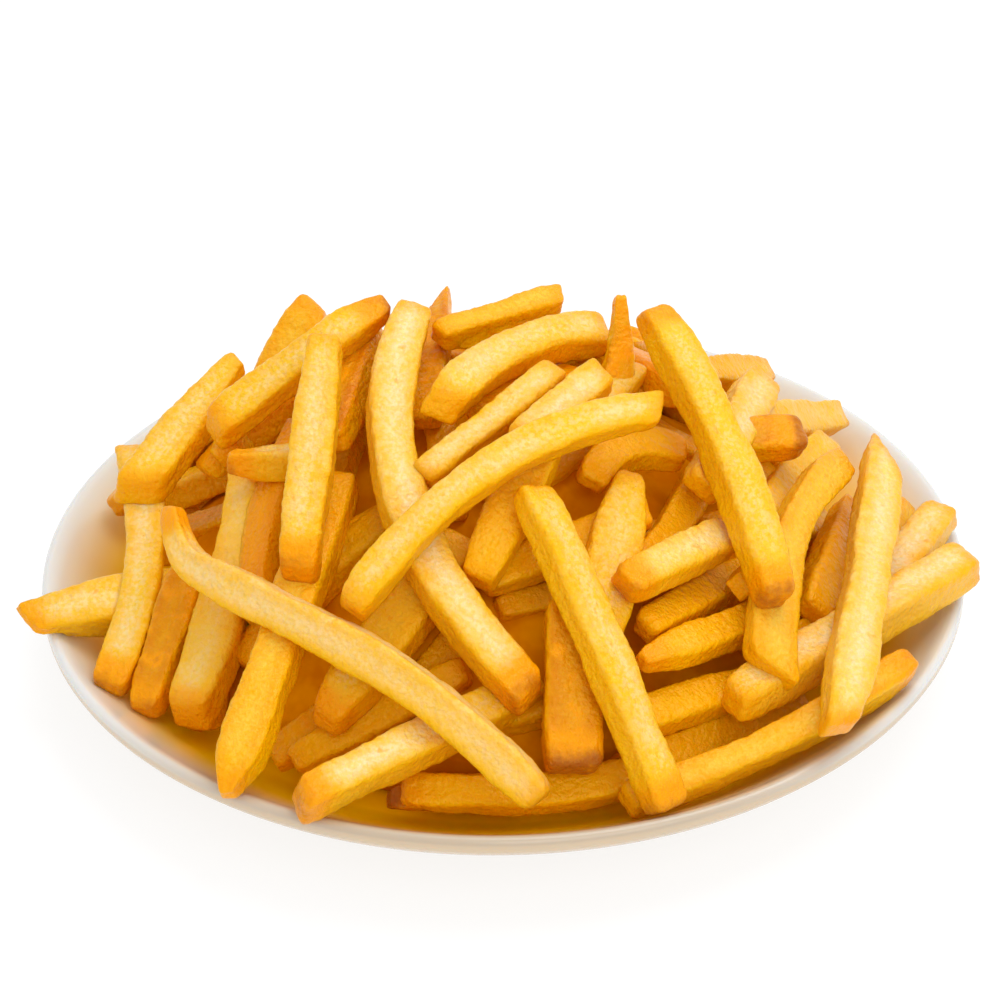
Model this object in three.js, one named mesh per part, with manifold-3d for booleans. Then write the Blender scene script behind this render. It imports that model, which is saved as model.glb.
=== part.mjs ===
// A portion of french fries heaped on a round white plate.
// Millimetres, +Z up. The plate's middle is the origin, its foot stands on z = 0, and the
// side that faces the diner is -Y. Everything rests on one plate, so there are no joints.
import * as THREE from 'three';
import { mergeVertices } from 'three/addons/utils/BufferGeometryUtils.js';
import Module from 'manifold-3d';

const wasm = await Module();
wasm.setup();

// Plate
const PLATE_RADIUS = 100;
const LIP_TOP = 22; // height of the rim above the table
const LIP_WIDTH = 3;
const LIP_DEPTH = 3.5; // height of the rim's upright outer face
const WELL_RADIUS = 74;
const WELL_TOP = 6.5;
const WALL_CURVE = 1.3; // how late the wall turns up: 1 would be a straight cone
const PORCELAIN = 4.2; // wall thickness
const FOOT_RADIUS = 57;
const FOOT_WIDTH = 6;
const FOOT_RECESS = 1.6;
const PLATE_SEGMENTS = 64;
const WALL_STEPS = 6;

// Fries
const FRY_WIDTH = 8; // a 3/8 inch straight cut, shrunk by frying
const FRY_THICKNESS = 7;
const CORNER = 0.3; // how far the corners are cut back, as a share of the half width
const BLUNT_END = 0.86; // size of a plainly cut end, as a share of the fry's own section
const END_REACH = 2; // how far from the end a fry starts to narrow
const POINT_REACH = 25; // and how much further if it narrowed to a point
const CURL_REACH = 16; // length of a hooked end
const PLATE_GAP = 0.3;
const JOIN_TOLERANCE = 0.1; // slivers smaller than this are closed up after joining

// The heap, a lopsided mound: gentle to the front, steeper at the back
const HEAP_FOOT = 12;
const HEAP_TOP = 75;
const HEAP_SIDE = 98;
const HEAP_FRONT = 95;
const HEAP_BACK = 78;
const HEAP_MIDDLE_Y = 5;
const CORE_DEPTH = 14; // the solid core lies this far under the heap's surface
const CORE_RADIUS_X = 80;
const CORE_RADIUS_Y = 76;
const CORE_SEGMENTS = 28;
const CORE_STEPS = 6;

const PLATE_MATERIAL = new THREE.MeshStandardMaterial({
  name: 'porcelain',
  color: 0xf3eee8,
  roughness: 0.18,
  metalness: 0,
});
const FRY_MATERIAL = new THREE.MeshStandardMaterial({
  name: 'fries',
  color: 0xf2bd4e,
  roughness: 0.62,
  metalness: 0,
});

// One fry: the middle of each end, and how it differs from a plain straight one.
// bow bends it sideways, arch lifts its middle off the heap, sway makes a slight S,
// all in mm at the most bent place; curl hooks its first end sideways by that much; roll
// turns it about its length, in degrees. head and tail are the size of its first and its
// last end as a share of its section.
function fry(from, to, { wide = FRY_WIDTH, thick = FRY_THICKNESS, ...shape } = {}) {
  const plain = { bow: 0, arch: 0, sway: 0, curl: 0, roll: 0, head: BLUNT_END, tail: BLUNT_END };
  return { from, to, wide, thick, ...plain, ...shape };
}

const LEFT_FRIES = {
  rim: fry([-101, -25.5, 25], [-60, -15.5, 24.5], { wide: 11.4, thick: 9, roll: -18, head: 0.53 }),
  post: fry([-81.5, 20, 38], [-82.5, -43.5, 19.5], {
    wide: 8.6, thick: 6.2, bow: 6, arch: 2, roll: 43,
  }),
  wedge: fry([-78.5, -0.5, 40], [-57, 29, 55], { wide: 10.6, thick: 8.2, roll: -47, tail: 0.56 }),
  crown: fry([-61, 0, 55], [-23.5, 18.5, 74.5], {
    wide: 8.6, thick: 7.8, arch: 1.5, roll: -40, tail: 0.6,
  }),
  crownBehind: fry([-59.5, 16, 34.5], [-40.5, 46, 59], {
    wide: 10.8, thick: 7.6, roll: -53, tail: 0.72,
  }),
  tall: fry([-36, -2.5, 78.5], [-41.5, -44.5, 48], { wide: 9.4, thick: 7.6, roll: 22, head: 0.8 }),
  peach: fry([-27.5, 22, 66.5], [-35.5, -12, 58.5]),
  hook: fry([-57, -12, 51.5], [-36.5, -13, 56], {
    wide: 7, thick: 6.2, arch: -1, curl: 3, roll: -67, head: 0.7,
  }),
  browned: fry([-65, -20.5, 34], [-75, -47.5, 16], { wide: 8.6, thick: 7.4, roll: 25, tail: 0.72 }),
  pale: fry([-54, -5, 47.5], [-65.5, -51.5, 17.5], {
    wide: 11, thick: 9, bow: 3, roll: 18, head: 0.68,
  }),
  lean: fry([-33.5, -16, 52.5], [-55, -87, 24.5], { wide: 9.8, thick: 8, roll: 13, tail: 0.42 }),
  deepA: fry([-45, 14, 42], [-79.5, 30, 18], { wide: 7.6 }),
  deepB: fry([-44, 2, 38], [-76.5, 12, 16.5], { wide: 7.6 }),
  deepC: fry([-30, 20, 52.5], [-36, -14, 43.5], { wide: 7.6 }),
};

const FRONT_FRIES = {
  long: fry([-73, -24.5, 42.5], [6, -89.5, 24], {
    wide: 8.8, thick: 7.6, bow: 5.5, arch: 8, sway: -1.5, curl: 9, roll: -8, head: 0.55, tail: 0.72,
  }),
  stub: fry([-36.5, -65.5, 26], [-7.5, -34, 48], { wide: 10.4, thick: 9, head: 0.65 }),
  thin: fry([-43.5, -65, 15.5], [-7.5, -55, 30.5], { wide: 7, thick: 6.6 }),
  wide: fry([-40.5, -92.5, 27], [7, -59, 29.5], { wide: 8.4, thick: 8.6, roll: 14 }),
  deep: fry([-47.5, -61, 13.5], [-23.5, -50, 27], { wide: 6.6, thick: 6.6 }),
  underA: fry([-25.5, -61, 19], [-3.5, -42, 35.5]),
  underB: fry([-19.5, -64, 20], [21, -60, 28.5], { wide: 6.8, roll: 16 }),
  tip: fry([-24, -75, 13.5], [1, -70, 12], { wide: 6.6, thick: 6.6, head: 0.7 }),
  low: fry([-20.5, -78, 18.5], [29, -71, 16], {
    wide: 7.4, thick: 7.8, bow: -3, roll: 14, head: 0.55,
  }),
  bent: fry([-17.5, 17.5, 74], [5, -69, 34], {
    wide: 9.6, thick: 8, bow: -15.5, arch: 3, roll: 15,
  }),
  diagonal: fry([-30.5, -56.5, 47.5], [33, -20, 70.5], {
    wide: 7.8, thick: 7.8, bow: 7.5, arch: 5, roll: -8, tail: 0.8,
  }),
  post: fry([6, -38.5, 63.5], [31.5, -89.5, 21], { wide: 8.8, arch: 1, roll: 24 }),
  browned: fry([13.5, -51, 44.5], [13, -79.5, 23], { wide: 11.4, thick: 7.8, tail: 0.9 }),
};

const MIDDLE_FRIES = {
  a: fry([-4.5, -44, 44.5], [30.5, -28, 50.5]),
  b: fry([-1.5, -44, 37.5], [27, -34, 37], { wide: 6.6, thick: 6.6 }),
  c: fry([0.5, -44.5, 32.5], [28.5, -37.5, 29.5], { wide: 6.4, thick: 6.4 }),
  d: fry([9.5, -21.5, 65.5], [-5.5, -48.5, 47.5], { wide: 9.6, thick: 8 }),
  e: fry([28, -41, 43], [48.5, 4, 47]),
  arch: fry([18.5, -25, 55.5], [38.5, -10.5, 53], { bow: 5.5 }),
  blade: fry([26.5, -24, 57], [18, -58, 39.5], { wide: 11.4, thick: 8, head: 0.55 }),
};

const RIGHT_FRIES = {
  tall: fry([32, 3.5, 80.5], [55, -52, 44], {
    wide: 9.2, thick: 8.6, bow: 3, roll: -8, head: 0.7, tail: 0.76,
  }),
  shelfA: fry([24, -54, 50], [46.5, -30.5, 46], { wide: 8.6, thick: 7.6, roll: 12 }),
  shelfB: fry([28, -54, 39], [55, -20, 31], { wide: 7.4, thick: 7.6, roll: 18 }),
  shelfC: fry([27, -63, 37.5], [57, -38, 31.5], { thick: 7.4, roll: 21, head: 0.47 }),
  shelfD: fry([23, -69, 26.5], [63.5, -44, 21.5], { thick: 8, roll: 20 }),
  deep: fry([23, -71, 16.5], [61.5, -48, 15.5], { thick: 7.4 }),
  nub: fry([48, -42.5, 41], [59, -19, 35.5], { wide: 7, thick: 6.4 }),
  twist: fry([73.5, 2, 42.5], [53.5, -61.5, 33], {
    wide: 8.2, thick: 6.4, bow: -7, arch: 2, roll: -6, tail: 1.27,
  }),
  post: fry([82.5, 5, 41], [65.5, -78, 31], {
    wide: 9.4, thick: 7.6, arch: 2, roll: -23, tail: 0.78,
  }),
  low: fry([83, -50, 27], [23.5, -83, 18], { wide: 7, thick: 7.6, bow: 3, roll: -26, head: 0.82 }),
  rimA: fry([96.5, 5.5, 27.5], [73.5, -31, 23], { wide: 8.6, thick: 7.6, roll: -41 }),
  rimB: fry([99, -16.5, 29], [45.5, -65, 28.5], { wide: 9.2, thick: 9.4, roll: -39 }),
  innerA: fry([71.5, 23.5, 33.5], [53.5, -17, 40.5], { thick: 7.2 }),
  innerB: fry([76, 4, 29.5], [64, -36, 29.5], { wide: 8.6 }),
  innerC: fry([78, -19, 22], [55.5, -43.5, 25.5], { wide: 6.6, thick: 6.6 }),
  sliver: fry([89, 18.5, 20.5], [77.5, -24, 17], { wide: 6, thick: 6 }),
  browned: fry([64.5, 1.5, 50], [42.5, -3.5, 51.5], {
    wide: 8.8, thick: 7.8, roll: 14, head: 0.82,
  }),
  golden: fry([77.5, 51, 24], [53.5, 9, 48.5], { wide: 8.2, thick: 6.8, roll: 31 }),
  behindA: fry([38.5, 12.5, 59.5], [60.5, 49.5, 37], { wide: 6.8, thick: 6.6, roll: -33 }),
  behindB: fry([57, 20.5, 52.5], [41.5, -25, 54], { wide: 9.4, thick: 7.2, roll: 6 }),
};

const CROWN_FRIES = {
  bar: fry([-13, 12, 70], [14, 30, 68.5], { wide: 6.2, thick: 6.6, roll: -31 }),
  thick: fry([-12, -16, 69.5], [23, 20.5, 65], { wide: 9.2, thick: 8, bow: 5, roll: -20 }),
  nub: fry([-9, 15, 68], [10.5, 26.5, 64], { wide: 6.4, thick: 6.4 }),
  slimA: fry([12, -1.5, 69], [-16, -29.5, 61], { wide: 6.6, thick: 5.8, roll: 9 }),
  slimB: fry([22, -7.5, 72], [3.5, -25.5, 65.5], { wide: 8.4, thick: 6.8, roll: 3 }),
  small: fry([29, 8.5, 63], [14.5, -17.5, 62], { wide: 6, thick: 5.8 }),
  tipA: fry([-12, 34.5, 67.5], [-16, -4, 58], { wide: 7, thick: 6.4, head: 0.45 }),
  tipB: fry([26, 15, 77.5], [21.5, -5.5, 55], { thick: 6.6, bow: 1.5, head: 0.39 }),
};

// The far side is laid by rule: rows of fries round the back of the heap. Each row is spread
// over an arc, radius mm out from the plate's middle, and its fries turn to and fro about
// the heading of the row, measured from straight outwards.
const BACK_ROWS = [
  { count: 7, radius: 80, heading: 90, turn: 14, length: 54, sink: 6 },
  { count: 8, radius: 69, heading: 12, turn: 18, length: 46, sink: 5 },
  { count: 6, radius: 58, heading: 80, turn: 22, length: 54, sink: 11 },
  { count: 6, radius: 51, heading: 4, turn: 20, length: 44, sink: 9 },
  { count: 4, radius: 34, heading: 84, turn: 26, length: 46, sink: 15 },
];
const BACK_ARC = [50, 158]; // degrees round from +X, so this is the side away from the diner

// Height of the heap's outer surface over a place on the plate.
function heapHeight(x, y) {
  const reach = y < HEAP_MIDDLE_Y ? HEAP_FRONT : HEAP_BACK;
  const fall = (x / HEAP_SIDE) ** 2 + ((y - HEAP_MIDDLE_Y) / reach) ** 2;
  return HEAP_FOOT + (HEAP_TOP - HEAP_FOOT) * (1 - fall);
}

// The way the heap's surface faces at a place.
function heapNormal(x, y) {
  const step = 0.5;
  const slopeX = (heapHeight(x + step, y) - heapHeight(x - step, y)) / (2 * step);
  const slopeY = (heapHeight(x, y + step) - heapHeight(x, y - step)) / (2 * step);
  return new THREE.Vector3(-slopeX, -slopeY, 1).normalize();
}

// Height of the plate's upper surface at a distance from its middle.
function plateHeight(radius) {
  const wallEnd = PLATE_RADIUS - LIP_WIDTH;
  const t = THREE.MathUtils.clamp((radius - WELL_RADIUS) / (wallEnd - WELL_RADIUS), 0, 1);
  return WELL_TOP + (LIP_TOP - 0.8 - WELL_TOP) * t ** WALL_CURVE;
}

// A repeatable scatter between -1 and 1.
function scatter(index, channel) {
  const value = Math.sin(index * 12.9898 + channel * 78.233) * 43758.5453;
  return 2 * (value - Math.floor(value)) - 1;
}

function backFries() {
  const fries = [];
  for (const row of BACK_ROWS) {
    for (let i = 0; i < row.count; i++) {
      const draw = fries.length + 1;
      const share = (i + 0.5) / row.count + 0.05 * scatter(draw, 1);
      const around = THREE.MathUtils.degToRad(THREE.MathUtils.lerp(...BACK_ARC, share));
      const turn = (i % 2 ? 1 : -1) * row.turn + 8 * scatter(draw, 2);
      const heading = around + THREE.MathUtils.degToRad(row.heading + turn);
      const length = row.length * (1 + 0.12 * scatter(draw, 3));
      fries.push(laidFry(around, row.radius, heading, length, row.sink, scatter(draw, 4)));
    }
  }
  return fries;
}

// A fry that lies along the slope of the heap, sunk a little into it, clear of the plate.
function laidFry(around, radius, heading, length, sink, lean) {
  const x = radius * Math.cos(around);
  const y = radius * Math.sin(around);
  const along = new THREE.Vector2(Math.cos(heading), Math.sin(heading));
  const normal = heapNormal(x, y);
  const slope = -(normal.x * along.x + normal.y * along.y) / normal.z;
  const half = length / 2 / Math.hypot(1, slope);
  const ends = [-half, half].map((reach) => {
    const end = [x + along.x * reach, y + along.y * reach];
    const lowest = plateHeight(Math.hypot(...end)) + FRY_THICKNESS / 2;
    return [...end, Math.max(heapHeight(x, y) - sink + slope * reach, lowest)];
  });
  return fry(...ends, { bow: 2.5 * lean, arch: 1 });
}

// The fry's own directions: along it, across it, and out of the heap.
function fryAxes({ from, to, roll }) {
  const start = new THREE.Vector3(...from);
  const end = new THREE.Vector3(...to);
  const along = end.clone().sub(start).normalize();
  const middle = start.clone().add(end).multiplyScalar(0.5);
  const out = heapNormal(middle.x, middle.y);
  out.addScaledVector(along, -out.dot(along)).normalize();
  out.applyAxisAngle(along, THREE.MathUtils.degToRad(-roll));
  return { start, end, along, out, across: out.clone().cross(along) };
}

// The line down the middle of a bent fry.
function fryPath(row, axes, t) {
  const bulge = 4 * t * (1 - t);
  const swing = Math.sin(2 * Math.PI * t);
  const hooked = Math.max(0, 1 - (t * axes.start.distanceTo(axes.end)) / CURL_REACH) ** 2;
  return axes.start
    .clone()
    .lerp(axes.end, t)
    .addScaledVector(axes.across, row.bow * bulge + row.sway * swing + row.curl * hooked)
    .addScaledVector(axes.out, row.arch * bulge);
}

// The section's own directions at a place on the middle line, square to the line there.
function frySection(row, axes, t) {
  const step = 0.002;
  const ahead = fryPath(row, axes, t + step);
  const tangent = ahead.sub(fryPath(row, axes, t - step)).normalize();
  const across = axes.across.clone();
  across.addScaledVector(tangent, -across.dot(tangent)).normalize();
  return { across, out: tangent.cross(across) };
}

// How far from its end a fry starts to narrow to an end of this size, in mm.
function endReach(size) {
  return END_REACH + POINT_REACH * (1 - size);
}

// A fry is an eight-sided bar: a cylinder of eight sides squared off, narrowed at both ends,
// then laid along its bent middle line.
function fryGeometry(row) {
  const bend = Math.abs(row.bow) + Math.abs(row.arch) + Math.abs(row.sway) + row.curl;
  const spans = bend > 8 ? 6 : bend > 1.5 ? 4 : 3;
  const bar = new THREE.CylinderGeometry(1, 1, 1, 8, spans);
  const axes = fryAxes(row);
  const length = axes.start.distanceTo(axes.end);
  const first = endReach(row.head) / length;
  const last = 1 - endReach(row.tail) / length;
  const place = bar.getAttribute('position');
  for (let i = 0; i < place.count; i++) {
    const ring = Math.round((place.getY(i) + 0.5) * spans);
    const isEnd = ring === 0 || ring === spans;
    const inner = THREE.MathUtils.lerp(first, last, (ring - 1) / (spans - 2));
    const t = isEnd ? ring / spans : inner;
    const point = fryPath(row, axes, t);
    const { across, out } = frySection(row, axes, t);
    const onEdge = Math.hypot(place.getX(i), place.getZ(i)) > 0.5;
    if (onEdge) {
      const corner = squaredCorner(Math.atan2(place.getZ(i), place.getX(i)));
      const size = isEnd ? (ring === 0 ? row.head : row.tail) : 1;
      point.addScaledVector(across, (corner.x * row.wide * size) / 2);
      point.addScaledVector(out, (-corner.y * row.thick * size) / 2);
    }
    place.setXYZ(i, point.x, point.y, point.z);
  }
  return bar;
}

// The eight corners of a square with its corners cut off, by the angle of the round it replaces.
function squaredCorner(angle) {
  const eighth = Math.round(angle / (Math.PI / 4));
  const turned = (eighth + 0.5) * (Math.PI / 4);
  const sideways = Math.cos(turned);
  const upwards = Math.sin(turned);
  const long = Math.max(Math.abs(sideways), Math.abs(upwards));
  const isShort = (value) => Math.abs(value) < long - 1e-6;
  const size = (value) => Math.sign(value) * (isShort(value) ? 1 - CORNER : 1);
  return { x: size(sideways), y: size(upwards) };
}

// Upper profile of the plate from the middle to the inside of the lip.
function upperProfile(lift) {
  const points = [new THREE.Vector2(0, WELL_TOP + lift)];
  for (let i = 0; i <= WALL_STEPS; i++) {
    const radius = THREE.MathUtils.lerp(WELL_RADIUS, PLATE_RADIUS - LIP_WIDTH, i / WALL_STEPS);
    points.push(new THREE.Vector2(radius, plateHeight(radius) + lift));
  }
  return points;
}

// A LatheGeometry turns about Y, so it is stood up to turn about Z.
function turned(points, segments) {
  return new THREE.LatheGeometry(points, segments).rotateX(Math.PI / 2);
}

function plateGeometry() {
  const underside = [];
  for (let i = WALL_STEPS - 1; i >= 0; i--) {
    const radius = THREE.MathUtils.lerp(FOOT_RADIUS + 2, PLATE_RADIUS - 2, i / (WALL_STEPS - 1));
    underside.push(new THREE.Vector2(radius, plateHeight(radius) - PORCELAIN));
  }
  const profile = [
    ...upperProfile(0),
    new THREE.Vector2(PLATE_RADIUS - LIP_WIDTH + 1, LIP_TOP - 0.1),
    new THREE.Vector2(PLATE_RADIUS - 1, LIP_TOP),
    new THREE.Vector2(PLATE_RADIUS, LIP_TOP - 1),
    new THREE.Vector2(PLATE_RADIUS, LIP_TOP - LIP_DEPTH + 1),
    new THREE.Vector2(PLATE_RADIUS - 0.8, LIP_TOP - LIP_DEPTH),
    ...underside,
    new THREE.Vector2(FOOT_RADIUS, 0),
    new THREE.Vector2(FOOT_RADIUS - FOOT_WIDTH, 0),
    new THREE.Vector2(FOOT_RADIUS - FOOT_WIDTH - 1, FOOT_RECESS),
    new THREE.Vector2(0, FOOT_RECESS),
  ];
  return turned(profile.reverse(), PLATE_SEGMENTS);
}

// Everything from the table up to a hair above the plate: what the fries are cut to fit.
function plateClearance() {
  const top = upperProfile(PLATE_GAP);
  const profile = [
    new THREE.Vector2(0, -10),
    new THREE.Vector2(PLATE_RADIUS + PLATE_GAP, -10),
    new THREE.Vector2(PLATE_RADIUS + PLATE_GAP, LIP_TOP + PLATE_GAP),
    new THREE.Vector2(PLATE_RADIUS - LIP_WIDTH, LIP_TOP + PLATE_GAP),
    ...top.reverse(),
  ];
  return turned(profile, PLATE_SEGMENTS);
}

// The buried middle of the heap: a disc domed to the heap's shape, well below its surface.
function coreGeometry() {
  const points = [];
  for (let i = 0; i <= CORE_STEPS; i++) {
    points.push(new THREE.Vector2((i / CORE_STEPS) * 0.99, 1));
  }
  points.push(new THREE.Vector2(0.99, 0), new THREE.Vector2(0, 0));
  const dome = turned(points.reverse(), CORE_SEGMENTS);
  const place = dome.getAttribute('position');
  const floor = WELL_TOP - 1;
  for (let i = 0; i < place.count; i++) {
    const x = place.getX(i) * CORE_RADIUS_X;
    const y = place.getY(i) * CORE_RADIUS_Y;
    const height = Math.max(heapHeight(x, y) - CORE_DEPTH, floor + 2);
    place.setXYZ(i, x, y, place.getZ(i) > 0.5 ? height : floor);
  }
  return dome;
}

// A closed geometry as a solid, and back.
function solid(geometry) {
  const bare = geometry.clone();
  bare.deleteAttribute('normal');
  bare.deleteAttribute('uv');
  const merged = mergeVertices(bare, 1e-4);
  return new wasm.Manifold(
    new wasm.Mesh({
      numProp: 3,
      vertProperties: merged.getAttribute('position').array,
      triVerts: new Uint32Array(merged.index.array),
    }),
  );
}

function geometryOf(body) {
  const { vertProperties, triVerts } = body.getMesh();
  const geometry = new THREE.BufferGeometry();
  geometry.setAttribute('position', new THREE.BufferAttribute(vertProperties, 3));
  geometry.setIndex(new THREE.BufferAttribute(triVerts, 1));
  const faceted = geometry.toNonIndexed();
  faceted.computeVertexNormals();
  return faceted;
}

// Keeps the one large body: gaps sealed inside the heap are filled, loose scraps dropped.
function largestBody(body) {
  const parts = body.decompose();
  return parts.reduce((best, part) => (part.volume() > best.volume() ? part : best));
}

// The same, with flat faces that the joins split made whole again.
function wholeBody(body) {
  return largestBody(largestBody(body).asOriginal().simplify(JOIN_TOLERANCE));
}

function heapGeometry() {
  const rows = [LEFT_FRIES, FRONT_FRIES, MIDDLE_FRIES, RIGHT_FRIES, CROWN_FRIES];
  const fries = [...rows.flatMap((row) => Object.values(row)), ...backFries()];
  let heap = solid(coreGeometry());
  for (const row of fries) heap = heap.add(solid(fryGeometry(row)));
  return geometryOf(wholeBody(heap.subtract(solid(plateClearance()))));
}

function part(name, geometry, material) {
  const mesh = new THREE.Mesh(geometry, material);
  mesh.name = name;
  return mesh;
}

const portion = new THREE.Group();
portion.name = 'french_fries_portion';
portion.add(part('plate', plateGeometry(), PLATE_MATERIAL));
portion.add(part('fries', heapGeometry(), FRY_MATERIAL));

export default portion;
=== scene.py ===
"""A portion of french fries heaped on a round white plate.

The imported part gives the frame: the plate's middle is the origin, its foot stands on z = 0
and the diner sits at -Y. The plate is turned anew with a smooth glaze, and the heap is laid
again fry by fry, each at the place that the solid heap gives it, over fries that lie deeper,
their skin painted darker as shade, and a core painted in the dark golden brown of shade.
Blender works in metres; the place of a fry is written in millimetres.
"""

from __future__ import annotations

import logging
import math
from dataclasses import dataclass, field, replace
from enum import Enum

import bpy
import numpy as np
from mathutils import Matrix, Vector

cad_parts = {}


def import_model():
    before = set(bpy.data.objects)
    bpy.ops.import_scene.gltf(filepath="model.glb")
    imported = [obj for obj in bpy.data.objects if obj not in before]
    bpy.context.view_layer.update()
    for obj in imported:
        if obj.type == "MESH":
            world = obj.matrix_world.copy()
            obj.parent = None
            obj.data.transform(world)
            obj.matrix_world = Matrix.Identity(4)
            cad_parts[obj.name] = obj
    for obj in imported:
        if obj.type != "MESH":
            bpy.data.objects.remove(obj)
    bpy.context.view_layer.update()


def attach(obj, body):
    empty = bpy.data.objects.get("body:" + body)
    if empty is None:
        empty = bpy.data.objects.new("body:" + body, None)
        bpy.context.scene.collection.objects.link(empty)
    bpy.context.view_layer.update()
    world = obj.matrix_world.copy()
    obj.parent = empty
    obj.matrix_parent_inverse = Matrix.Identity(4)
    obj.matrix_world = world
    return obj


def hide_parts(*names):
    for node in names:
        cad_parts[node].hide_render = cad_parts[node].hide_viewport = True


MM = 0.001
LOG = logging.getLogger("french_fries")

Point = tuple[float, float, float]


class Tone(Enum):
    """How far a fry is fried; UNDER is golden skin painted darker and redder as the shade on fries
    that lie deeper.
    """

    LIGHT = "light"
    PALE = "pale"
    GOLDEN = "golden"
    BROWNED = "browned"
    # painted shade: the skin of the fries that lie deeper
    UNDER = "deep"


@dataclass(frozen=True)
class Cut:
    """The shape of one end of a fry.

    wide and thick are the size of the end as a share of the fry's own section. The fry
    narrows to it over reach mm. skew sets the right side of the end face further out than
    the left, tilt its lower edge further than its upper, both in mm. crisp is how browned
    it is.
    """

    wide: float = 0.88
    thick: float = 0.84
    reach: float = 6.0
    skew: float = 0.0
    tilt: float = 0.0
    crisp: float = 0.35


BLUNT = Cut()
TOASTED = Cut(crisp=0.8)
BURNT = Cut(wide=0.74, thick=0.7, reach=9, crisp=1.0)
TAPERED = Cut(wide=0.62, thick=0.66, reach=16, crisp=0.5)
POINTED = Cut(wide=0.4, thick=0.5, reach=14, crisp=0.55)
WEDGED = Cut(wide=0.9, thick=0.25, reach=15, crisp=0.5)
ROUNDED = Cut(wide=0.72, thick=0.72, reach=7, crisp=0.5)


@dataclass(frozen=True)
class Fry:
    """One fry, in mm: the middle of each end, and how it differs from a straight plain one.

    bow bends it sideways, arch lifts its middle off the heap and sway makes a slight S, each
    at the most bent place. curl hooks its first end sideways by that much. roll turns it
    about its length and twist winds it, in degrees.
    """

    start: Point
    end: Point
    wide: float = 8.0
    thick: float = 7.0
    bow: float = 0.0
    arch: float = 0.0
    sway: float = 0.0
    curl: float = 0.0
    roll: float = 0.0
    twist: float = 0.0
    tone: Tone = Tone.PALE
    head: Cut = BLUNT
    tail: Cut = BLUNT


LEFT_FRIES = {
    "rim": Fry(
        (-101, -25.5, 25), (-60, -15.5, 24.5), wide=11.4, thick=9, roll=-18,
        head=replace(TAPERED, wide=0.75, thick=0.3, skew=-5),
    ),
    "post": Fry(
        (-81.5, 20, 38), (-82.5, -43.5, 19.5), wide=8.6, thick=6.2, bow=6, arch=2, roll=43,
        head=Cut(skew=3), tail=TOASTED,
    ),
    "wedge": Fry(
        (-78.5, -0.5, 40), (-57, 29, 55), wide=10.6, thick=8.2, roll=-47,
        head=Cut(skew=-5, tilt=3), tail=replace(BURNT, wide=0.42, reach=24, skew=-1.5, crisp=0.3),
    ),
    "crown": Fry(
        (-61, 0, 55), (-23.5, 18.5, 74.5), wide=8.6, thick=7.8, arch=1.5, roll=-40,
        head=Cut(tilt=3, crisp=0.5), tail=replace(BURNT, wide=0.6, thick=0.6, reach=10),
    ),
    "crownBehind": Fry(
        (-59.5, 16, 34.5), (-40.5, 46, 59), wide=10.8, thick=7.6, roll=-53, tone=Tone.GOLDEN,
        tail=replace(ROUNDED, skew=-3),
    ),
    "tall": Fry(
        (-36, -2.5, 78.5), (-41.5, -44.5, 48), wide=9.4, thick=7.6, roll=22,
        head=Cut(wide=0.8, thick=0.8, reach=26), tail=replace(TOASTED, skew=-1.5, tilt=3),
    ),
    "peach": Fry((-27.5, 22, 66.5), (-35.5, -12, 58.5), tone=Tone.BROWNED),
    "hook": Fry(
        (-57, -12, 51.5), (-36.5, -13, 56), wide=7, thick=6.2, arch=-1, curl=3, roll=-67,
        head=replace(TOASTED, wide=0.7, thick=0.7, reach=8),
    ),
    "browned": Fry(
        (-65, -20.5, 34), (-75, -47.5, 16), wide=8.6, thick=7.4, roll=25, tone=Tone.BROWNED,
        tail=replace(ROUNDED, crisp=0.8),
    ),
    "pale": Fry(
        (-54, -5, 47.5), (-65.5, -51.5, 17.5), wide=11, thick=9, bow=3, roll=18,
        tone=Tone.LIGHT, head=Cut(wide=0.66, thick=0.7, reach=32), tail=Cut(tilt=3, crisp=0.5),
    ),
    "lean": Fry(
        (-33.5, -16, 52.5), (-55, -87, 24.5), wide=9.8, thick=8, roll=13, tone=Tone.GOLDEN,
        tail=replace(BURNT, wide=0.35, thick=0.5, crisp=0.6),
    ),
    "deepA": Fry((-45, 14, 42), (-79.5, 30, 18), wide=7.6, tone=Tone.GOLDEN),
    "deepB": Fry((-44, 2, 38), (-76.5, 12, 16.5), wide=7.6, tone=Tone.BROWNED),
    "deepC": Fry((-30, 20, 52.5), (-36, -14, 43.5), wide=7.6, tone=Tone.BROWNED),
}

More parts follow.
